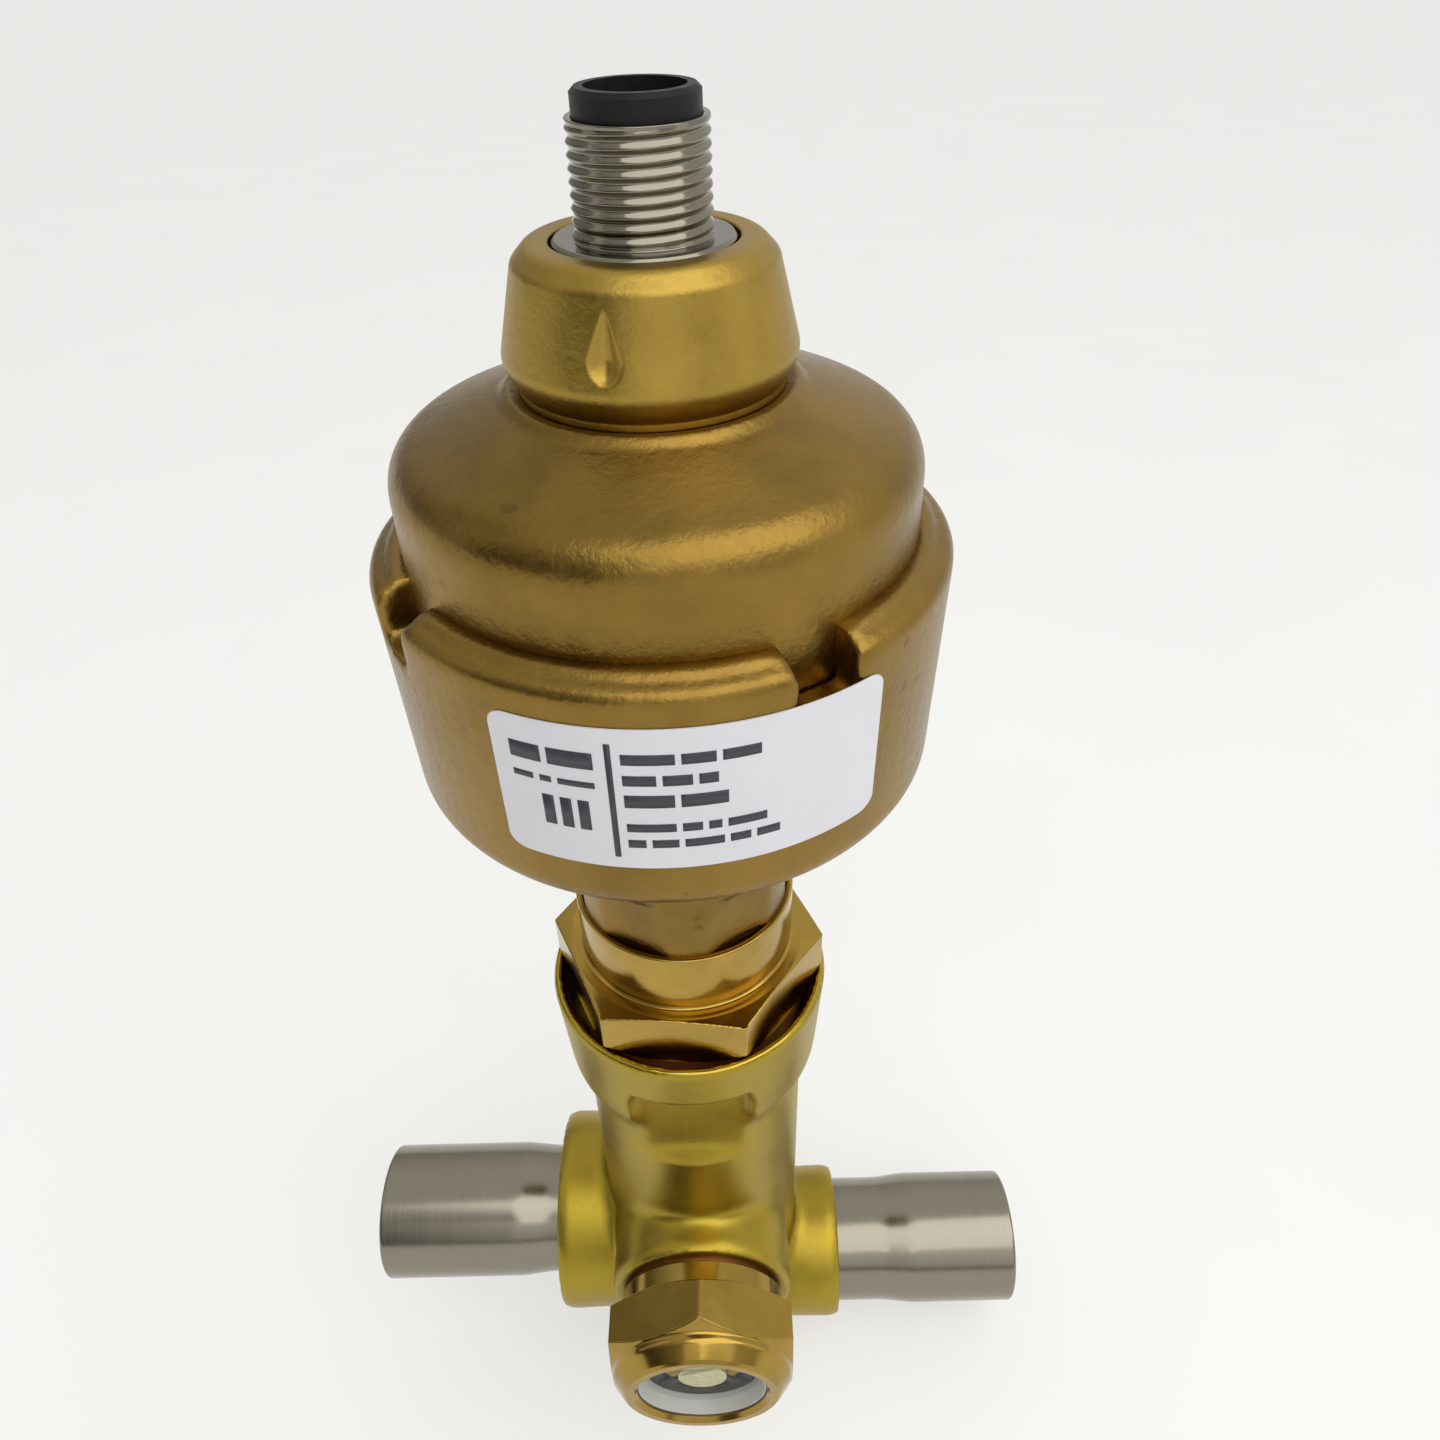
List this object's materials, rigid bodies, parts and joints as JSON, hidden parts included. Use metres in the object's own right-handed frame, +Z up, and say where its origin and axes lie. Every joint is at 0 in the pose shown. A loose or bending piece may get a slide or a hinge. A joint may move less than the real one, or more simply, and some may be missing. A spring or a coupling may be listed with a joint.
{
  "type": "electronic expansion valve",
  "caption": "Upright brass refrigerant valve: stepper motor housing with a round plug connector on a hexagon neck, above a body with two steel solder stubs and a sight glass.",
  "frame": {"origin": "centre of the flat base on the valve's vertical axis", "axes": "+Z up along the valve's axis to the connector, +X along the outlet stub, -Y towards the sight glass"},
  "size_m": [0.11, 0.0649, 0.2034],
  "materials": {
    "forged_brass": "forged brass with a greenish cast, satin, machined on the port faces",
    "cast_brass": "sand cast brass, matt brown with fine pits and soft highlights",
    "turned_brass": "bright machined brass with turning marks",
    "satin_brass": "satin yellow brass with a fine grain",
    "stainless": "drawn stainless steel, satin",
    "inner_steel": "plain machined steel",
    "black_plastic": "black moulded plastic",
    "window_glass": "clear fused glass",
    "white_enamel": "white glossy ring",
    "indicator_yellow": "pale yellow moisture paper",
    "label_film": "white printed film",
    "seal_rubber": "black sealing rubber",
    "seal_red": "red fibre gasket",
    "copper": "copper and bronze",
    "gear_brass": "hobbed brass",
    "magnet": "dark sintered magnet",
    "lead_red": "red insulated leads",
    "contact_gold": "gold plated contacts"
  },
  "bodies": {
    "valve": {"valve_body": "forged_brass", "inlet_stub": "stainless", "outlet_stub": "stainless", "sight_glass_nut": "turned_brass", "sight_glass": "window_glass", "sight_ring": "white_enamel", "indicator_disc": "indicator_yellow", "sight_gasket": "copper", "orifice_ring": "inner_steel", "piston_guide": "turned_brass", "piston_seal": "seal_rubber", "spindle_bush": "copper", "spindle_seal": "seal_rubber", "spindle_bearing": "inner_steel", "bonnet_nut": "turned_brass", "body_gasket": "seal_red", "lower_housing": "cast_brass", "upper_housing": "cast_brass", "housing_seal": "seal_rubber", "label": "label_film", "idler_pin": "inner_steel", "motor_plate": "inner_steel", "plate_pillars": "inner_steel", "stator_lower": "inner_steel", "stator_upper": "inner_steel", "coil_pair": "copper", "end_plate": "inner_steel", "lower_bearing": "copper", "upper_bearing": "copper", "lead_wires": "lead_red", "gland_cap": "satin_brass", "connector_shell": "stainless", "connector_insert": "black_plastic", "contact_pins": "contact_gold", "connector_seal": "seal_rubber"},
    "rotor": {"rotor_shaft": "inner_steel", "rotor_magnet": "magnet", "motor_pinion": "gear_brass"},
    "idler": {"idler_gear": "gear_brass"},
    "spindle": {"spindle": "inner_steel", "spindle_gear": "gear_brass"},
    "piston": {"piston": "inner_steel", "drive_nut": "copper"}
  },
  "joints": [
    {"name": "rotor_spin", "type": "hinge", "parent": "valve", "child": "rotor", "pos_m": [0, 0, 0.16], "axis": [0, 0, 1], "range_deg": [0, 19710]},
    {"name": "idler_spin", "type": "hinge", "parent": "valve", "child": "idler", "pos_m": [0, 0.01275, 0.147], "axis": [0, 0, 1], "range_deg": [-6745, 0]},
    {"name": "spindle_spin", "type": "hinge", "parent": "valve", "child": "spindle", "pos_m": [0, 0, 0.12], "axis": [0, 0, 1], "range_deg": [0, 2308]},
    {"name": "piston_slide", "type": "slide", "parent": "valve", "child": "piston", "axis": [0, 0, 1], "range_m": [0, 0.013]}
  ],
  "couplings": [
    {"joint": "rotor_spin", "follows": "piston_slide", "rad_per_m": 26432},
    {"joint": "idler_spin", "follows": "piston_slide", "rad_per_m": -9042.4},
    {"joint": "spindle_spin", "follows": "piston_slide", "rad_per_m": 3093.5}
  ]
}
